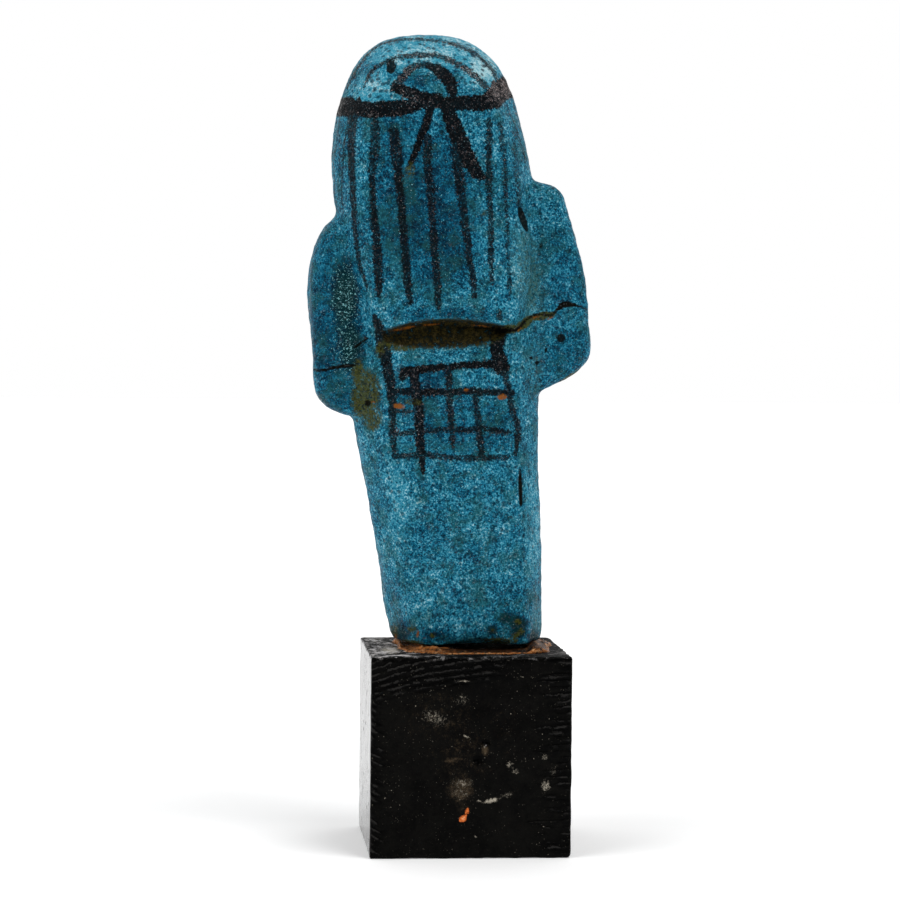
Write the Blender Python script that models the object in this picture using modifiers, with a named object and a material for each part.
"""A small faience funerary figure, a shabti, glued on a black wooden block.

The figure faces -Y and shows its back, with the long wig and the seed bag, to +Y. Its own left is +X.
The block's underside lies on the plane z = 0, with its centre at the origin.
"""

from math import pi
from typing import NamedTuple

import bmesh
import bpy
from mathutils import Vector

# Driving sizes, in metres

BLOCK_WIDTH = 0.035
BLOCK_DEPTH = 0.035
BLOCK_HEIGHT = 0.035
BLOCK_EDGE_RADIUS = 0.0006

GLUE_THICKNESS = 0.0008
GLUE_OVERHANG = 0.0011
CLEARANCE = 0.0003

FIGURE_HEIGHT = 0.107
FIGURE_X = 0.0
FIGURE_Y = 0.0

VOXELS_IN_HEIGHT = 195
SMOOTHING_PASSES = 3
FIGURE_FACES_KEPT = 0.088

# The figure is drawn in units, this many of them from its foot to its crown

FIGURE_UNITS = 107.0
UNIT = FIGURE_HEIGHT / FIGURE_UNITS

# The figure leans to its own left: where its middle line starts, and how far it shifts for each unit of height

AXIS_AT_FOOT = -0.95
AXIS_LEAN = 0.0857


class Level(NamedTuple):
    """One horizontal section of a rounded form, in units.

    The flat parts of its back and front are shares of its half width.
    """

    z: float
    left: float
    right: float
    back: float
    front: float
    back_flat: float = 0.72
    front_flat: float = 0.55


BODY_LEVELS = (
    Level(0.0, 12.1, -13.9, 7.7, -15.2),
    Level(0.9, 12.8, -14.4, 8.1, -16.2),
    Level(4.5, 13.9, -14.4, 8.2, -16.2),
    Level(8.5, 14.4, -14.3, 8.2, -14.9),
    Level(12.5, 15.1, -14.2, 8.2, -12.0),
    Level(18.0, 16.0, -13.9, 8.2, -10.2),
    Level(25.0, 17.3, -13.6, 8.2, -9.8),
    Level(33.0, 18.8, -13.1, 8.2, -9.9),
    Level(40.0, 20.3, -13.1, 8.2, -10.2),
    Level(48.0, 21.0, -13.5, 8.2, -10.4),
    Level(56.0, 21.2, -14.0, 8.1, -10.6),
    Level(66.0, 21.2, -13.6, 7.0, -10.8),
    Level(74.0, 19.5, -10.4, 5.5, -10.0),
    Level(80.0, 14.0, -2.0, 3.0, -7.4),
)

WIG_LEVELS = (
    Level(55.4, 17.0, -9.0, 9.4, 0.0, 0.9, 0.6),
    Level(56.6, 17.9, -9.8, 10.3, -1.0, 0.88, 0.6),
    Level(63.5, 20.1, -11.3, 10.0, -3.0, 0.82, 0.64),
    Level(71.5, 22.6, -11.9, 9.7, -5.6, 0.78, 0.7),
    Level(79.5, 24.0, -11.9, 9.6, -10.0, 0.74, 0.76),
    Level(87.5, 24.0, -10.9, 9.6, -13.0, 0.72, 0.76),
    Level(93.5, 23.2, -9.2, 9.3, -14.4, 0.7, 0.72),
    Level(98.5, 21.8, -7.5, 7.6, -14.2, 0.68, 0.66),
    Level(102.2, 19.8, -5.6, 5.2, -12.6, 0.66, 0.6),
    Level(105.0, 17.5, -3.0, 2.4, -10.4, 0.64, 0.6),
    Level(106.9, 14.2, 0.5, -0.6, -8.2, 0.62, 0.6),
    Level(107.5, 10.0, 5.0, -2.4, -6.2, 0.6, 0.6),
)

# Outlines of the upper arms, seen from behind, from the armpit up round the shoulder and down to the elbow

LEFT_ARM_OUTLINE = (
    (15.0, 74.0), (21.5, 75.5), (25.0, 73.2), (26.9, 69.4), (28.0, 63.0), (27.7, 57.0),
    (27.2, 51.0), (26.9, 45.5), (25.6, 42.2), (23.0, 40.4), (19.5, 39.8), (15.0, 42.0),
)
RIGHT_ARM_OUTLINE = (
    (-7.0, 81.0), (-12.6, 81.3), (-16.4, 79.8), (-17.9, 75.6), (-19.6, 70.0), (-21.0, 64.0),
    (-21.8, 56.0), (-21.9, 50.9), (-19.6, 47.7), (-15.2, 45.2), (-11.0, 43.6), (-7.0, 46.0),
)
ARM_BACK = 4.6
ARM_FRONT = -7.4
ARM_EDGE_RADIUS = 3.0

# The front lappets of the wig: one outline, from the middle line outwards, that is turned round for the other side

LAPPET_OUTLINE = (
    (9.0, 95.0), (13.6, 95.0), (16.6, 88.0), (17.0, 80.0), (16.0, 73.0), (14.2, 68.0),
    (13.2, 64.6), (3.4, 64.0), (3.8, 70.0), (6.0, 76.0), (8.8, 81.0), (9.6, 87.0),
)
LAPPET_BACK = 0.6
LAPPET_FRONT = -13.4
LAPPET_EDGE_RADIUS = 2.0

# Forearms from the elbow to the wrist, as points (x, y, z) with the limb's radius

FOREARMS = {
    "left": ((22.4, -4.5, 45.6, 4.3), (14.0, -8.4, 50.6, 4.3), (4.0, -10.0, 57.0, 3.7), (-2.2, -10.6, 61.6, 3.1)),
    "right": ((-16.4, -4.5, 49.0, 4.3), (-8.0, -8.8, 52.0, 4.3), (3.0, -11.8, 57.0, 3.7), (9.8, -12.2, 62.4, 3.1)),
}
FIST_RADII = (3.5, 2.7, 3.4)

# The face and ears as melted balls: centre counted from the middle line, and radii

FACE_FEATURES = {
    "face": ((0.0, -9.0, 85.4), (9.6, 7.2, 9.4)),
    "jaw": ((0.0, -9.4, 80.8), (7.4, 6.2, 5.4)),
    "brow": ((0.0, -13.0, 89.4), (6.6, 2.7, 1.9)),
    "nose_bridge": ((0.0, -15.0, 86.6), (1.1, 1.8, 3.6)),
    "nose_tip": ((0.0, -16.1, 83.3), (1.7, 1.8, 1.3)),
    "mouth": ((0.0, -14.4, 80.2), (2.9, 1.5, 1.1)),
    "chin": ((0.0, -13.0, 77.4), (3.2, 2.1, 1.8)),
}
PAIRED_FEATURES = {
    "cheek": ((4.6, -12.7, 83.2), (3.2, 2.3, 3.0)),
    "eye": ((4.0, -14.6, 86.9), (2.3, 1.2, 1.1)),
    "ear": ((10.6, -13.6, 85.4), (1.6, 2.2, 3.3)),
}

# Balls that are cut away: the hollow under the wig's back flap, and the broken hollow under the foot's back edge

HOLLOWS = {
    "scoop_under_wig": ((4.2, 10.0, 54.3), (14.6, 3.4, 3.3)),
    "break_under_foot": ((-2.6, 8.6, -0.3), (8.2, 3.4, 1.7)),
}


def axis_x(z):
    """The middle line's x, in units, at a height z in units."""
    return AXIS_AT_FOOT + AXIS_LEAN * z


def figure_foot():
    """The point in metres that the figure's units are counted from."""
    return Vector((FIGURE_X, FIGURE_Y, BLOCK_HEIGHT + GLUE_THICKNESS + 2 * CLEARANCE))


def in_metres(x, y, z):
    """A point drawn in units, as a place in metres."""
    return figure_foot() + Vector((x, y, z)) * UNIT


def clear_scene():
    """Removes whatever the file holds before the model is made."""
    for obj in list(bpy.data.objects):
        bpy.data.objects.remove(obj, do_unlink=True)


def new_collection(name):
    """A collection of its own in the scene."""
    collection = bpy.data.collections.new(name)
    bpy.context.scene.collection.children.link(collection)
    return collection


def new_material(name, colour, roughness, metallic=0.0):
    """A plain material with one colour."""
    material = bpy.data.materials.new(name)
    material.use_nodes = True
    shader = material.node_tree.nodes["Principled BSDF"]
    shader.inputs["Base Color"].default_value = (*colour, 1.0)
    shader.inputs["Roughness"].default_value = roughness
    shader.inputs["Metallic"].default_value = metallic
    return material


def level_ring(level):
    """The cage points round one section, from the middle of the back round by the figure's left.

    Half a ring is drawn as shares of the half width, with depths counted in from the back or the front.
    """
    middle = (level.left + level.right) / 2
    half = (level.left - level.right) / 2
    depth = level.back - level.front
    half_ring = (
        (level.back_flat - 0.12, level.back),
        (level.back_flat + 0.02, level.back - 0.03 * depth),
        (0.96, level.back - 0.30 * depth),
        (1.0, level.back - 0.44 * depth),
        (1.0, level.front + 0.30 * depth),
        (level.front_flat + 0.20, level.front + 0.10 * depth),
        (level.front_flat, level.front + 0.03 * depth),
    )
    left_side = [(middle + half * share, y) for share, y in half_ring]
    right_side = [(middle - half * share, y) for share, y in reversed(half_ring)]
    ring = [(middle, level.back), *left_side, (middle, level.front), *right_side]
    return [(x, y, level.z) for x, y in ring]


def mesh_object(name, bm, collection):
    """A new object that holds a bmesh, which is freed."""
    bmesh.ops.recalc_face_normals(bm, faces=bm.faces)
    mesh = bpy.data.meshes.new(name)
    bm.to_mesh(mesh)
    bm.free()
    obj = bpy.data.objects.new(name, mesh)
    collection.objects.link(obj)
    return obj


def lofted_form(name, levels, collection):
    """A soft closed form through the sections: a coarse cage under a subdivision surface."""
    bm = bmesh.new()
    rings = [[bm.verts.new(in_metres(*p)) for p in level_ring(level)] for level in levels]
    for lower, upper in zip(rings, rings[1:]):
        for i in range(len(lower)):
            j = (i + 1) % len(lower)
            bm.faces.new((lower[i], lower[j], upper[j], upper[i]))
    bm.faces.new(rings[0])
    bm.faces.new(rings[-1])
    obj = mesh_object(name, bm, collection)
    surface = obj.modifiers.new("smooth form", "SUBSURF")
    surface.levels = surface.render_levels = 3
    return obj


def flat_form(name, outline, back, front, edge_radius, collection):
    """A slab with this outline as seen from behind, between two depths, with well rounded edges."""
    curve = bpy.data.curves.new(name, "CURVE")
    curve.dimensions = "2D"
    curve.fill_mode = "BOTH"
    curve.bevel_depth = edge_radius * UNIT
    curve.bevel_resolution = 4
    curve.offset = -edge_radius * UNIT
    curve.extrude = ((back - front) / 2 - edge_radius) * UNIT
    curve.resolution_u = 4
    spline = curve.splines.new("BEZIER")
    spline.bezier_points.add(len(outline) - 1)
    spline.use_cyclic_u = True
    for point, (x, z) in zip(spline.bezier_points, outline):
        point.co = (x * UNIT, z * UNIT, 0.0)
        point.handle_left_type = point.handle_right_type = "AUTO"
    obj = bpy.data.objects.new(name, curve)
    obj.rotation_euler = (pi / 2, 0.0, 0.0)
    obj.location = in_metres(0.0, (back + front) / 2, 0.0)
    collection.objects.link(obj)
    return obj


def tapered_tube(name, points, collection):
    """A limb along points (x, y, z, radius), all in units, with round ends made by its last radii."""
    curve = bpy.data.curves.new(name, "CURVE")
    curve.dimensions = "3D"
    curve.bevel_depth = UNIT
    curve.bevel_resolution = 4
    curve.use_fill_caps = True
    curve.resolution_u = 6
    spline = curve.splines.new("BEZIER")
    spline.bezier_points.add(len(points) - 1)
    for point, (x, y, z, radius) in zip(spline.bezier_points, points):
        point.co = in_metres(x, y, z)
        point.radius = radius
        point.handle_left_type = point.handle_right_type = "AUTO"
    obj = bpy.data.objects.new(name, curve)
    collection.objects.link(obj)
    return obj


def ball(name, centre, radii, collection):
    """A ball stretched to three radii, all in units."""
    bm = bmesh.new()
    bmesh.ops.create_uvsphere(bm, u_segments=32, v_segments=16, radius=1.0)
    bmesh.ops.scale(bm, vec=Vector(radii) * UNIT, verts=bm.verts)
    bmesh.ops.translate(bm, vec=in_metres(*centre), verts=bm.verts)
    return mesh_object(name, bm, collection)


def arm_forms(collection):
    """The upper arms at the sides, and the forearms and fists that cross on the chest."""
    sides = (("left", LEFT_ARM_OUTLINE), ("right", RIGHT_ARM_OUTLINE))
    forms = [
        flat_form(f"upper_arm_{side}", outline, ARM_BACK, ARM_FRONT, ARM_EDGE_RADIUS, collection)
        for side, outline in sides
    ]
    for side, points in FOREARMS.items():
        forms.append(tapered_tube(f"forearm_{side}", points, collection))
        forms.append(ball(f"fist_{side}", points[-1][:3], FIST_RADII, collection))
    return forms


def wig_forms(collection):
    """The wig over the head with its long flap down the back, and the two lappets on the chest."""
    forms = [lofted_form("wig_form", WIG_LEVELS, collection)]
    for side, sign in (("left", 1), ("right", -1)):
        outline = [(axis_x(z) + sign * x, z) for x, z in LAPPET_OUTLINE]
        forms.append(
            flat_form(f"lappet_{side}", outline, LAPPET_BACK, LAPPET_FRONT, LAPPET_EDGE_RADIUS, collection)
        )
    return forms


def face_forms(collection):
    """A calm, plain face between the lappets, with nose, mouth, chin, eyes and ears."""
    features = dict(FACE_FEATURES)
    for name, ((x, y, z), radii) in PAIRED_FEATURES.items():
        features[f"{name}_left"] = ((x, y, z), radii)
        features[f"{name}_right"] = ((-x, y, z), radii)
    return [
        ball(name, (axis_x(z) + x, y, z), radii, collection)
        for name, ((x, y, z), radii) in features.items()
    ]


def hollow_cutters(collection):
    """The balls that cut the hollows, kept out of the model."""
    cutters = [ball(name, centre, radii, collection) for name, (centre, radii) in HOLLOWS.items()]
    for cutter in cutters:
        cutter.hide_render = True
        cutter.display_type = "WIRE"
    return cutters


def merged_mesh(name, objects):
    """One mesh with the evaluated shells of all the objects, which are removed."""
    depsgraph = bpy.context.evaluated_depsgraph_get()
    bm = bmesh.new()
    for obj in objects:
        shell = bpy.data.meshes.new_from_object(obj.evaluated_get(depsgraph))
        shell.transform(obj.matrix_world)
        part = bmesh.new()
        part.from_mesh(shell)
        bmesh.ops.remove_doubles(part, verts=part.verts, dist=1e-6)
        bmesh.ops.recalc_face_normals(part, faces=part.faces)
        part.to_mesh(shell)
        part.free()
        bm.from_mesh(shell)
        bpy.data.meshes.remove(shell)
    for obj in objects:
        bpy.data.objects.remove(obj, do_unlink=True)
    mesh = bpy.data.meshes.new(name)
    bm.to_mesh(mesh)
    bm.free()
    return mesh


def build_figure(collection, cutters):
    """The moulded figure: its forms melted into one solid, with the two hollows cut out of it."""
    forms = [lofted_form("body_form", BODY_LEVELS, collection)]
    forms += wig_forms(collection) + arm_forms(collection) + face_forms(collection)
    bpy.context.view_layer.update()
    figure = bpy.data.objects.new("shabti_figure", merged_mesh("shabti_figure", forms))
    collection.objects.link(figure)
    melt = figure.modifiers.new("melt together", "REMESH")
    melt.mode = "VOXEL"
    melt.voxel_size = FIGURE_HEIGHT / VOXELS_IN_HEIGHT
    for cutter in hollow_cutters(cutters):
        cut = figure.modifiers.new(cutter.name, "BOOLEAN")
        cut.operation = "DIFFERENCE"
        cut.object = cutter
    soften = figure.modifiers.new("soften", "SMOOTH")
    soften.factor = 0.5
    soften.iterations = SMOOTHING_PASSES
    thin = figure.modifiers.new("fewer faces", "DECIMATE")
    thin.ratio = FIGURE_FACES_KEPT
    figure.data.materials.append(new_material("blue_faience", (0.045, 0.235, 0.345), 0.4))
    return figure


def build_glue(collection):
    """The thin bed of old glue, a little wider than the foot that stands on it."""
    foot = BODY_LEVELS[1]
    middle_y = (foot.back + foot.front) / 2
    middle_x = (foot.left + foot.right) / 2
    curve = bpy.data.curves.new("glue_bed", "CURVE")
    curve.dimensions = "2D"
    curve.fill_mode = "BOTH"
    curve.extrude = GLUE_THICKNESS / 2
    curve.resolution_u = 6
    ring = level_ring(foot)
    spline = curve.splines.new("BEZIER")
    spline.bezier_points.add(len(ring) - 1)
    spline.use_cyclic_u = True
    for point, (x, y, _z) in zip(spline.bezier_points, ring):
        arm = Vector((x - middle_x, y - middle_y)) * UNIT
        arm = arm.normalized() * (arm.length + GLUE_OVERHANG)
        point.co = (arm.x, arm.y, 0.0)
        point.handle_left_type = point.handle_right_type = "AUTO"
    glue = bpy.data.objects.new("glue_bed", curve)
    glue.location = (
        FIGURE_X + middle_x * UNIT,
        FIGURE_Y + middle_y * UNIT,
        BLOCK_HEIGHT + CLEARANCE + GLUE_THICKNESS / 2,
    )
    collection.objects.link(glue)
    curve.materials.append(new_material("old_glue", (0.32, 0.13, 0.045), 0.35))
    return glue


def build_block(collection):
    """The wooden block, with slightly rounded edges."""
    bm = bmesh.new()
    bmesh.ops.create_cube(bm, size=1.0)
    bmesh.ops.scale(bm, vec=(BLOCK_WIDTH, BLOCK_DEPTH, BLOCK_HEIGHT), verts=bm.verts)
    bmesh.ops.translate(bm, vec=(0.0, 0.0, BLOCK_HEIGHT / 2), verts=bm.verts)
    block = mesh_object("wooden_block", bm, collection)
    edges = block.modifiers.new("rounded edges", "BEVEL")
    edges.width = BLOCK_EDGE_RADIUS
    edges.segments = 3
    block.data.materials.append(new_material("blackened_wood", (0.012, 0.011, 0.010), 0.35))
    return block


def main():
    """Builds the figure, its glue and its block."""
    clear_scene()
    parts = new_collection("shabti_on_block")
    cutters = new_collection("cutters")
    build_block(parts)
    build_glue(parts)
    build_figure(parts, cutters)
    bpy.context.view_layer.update()


main()
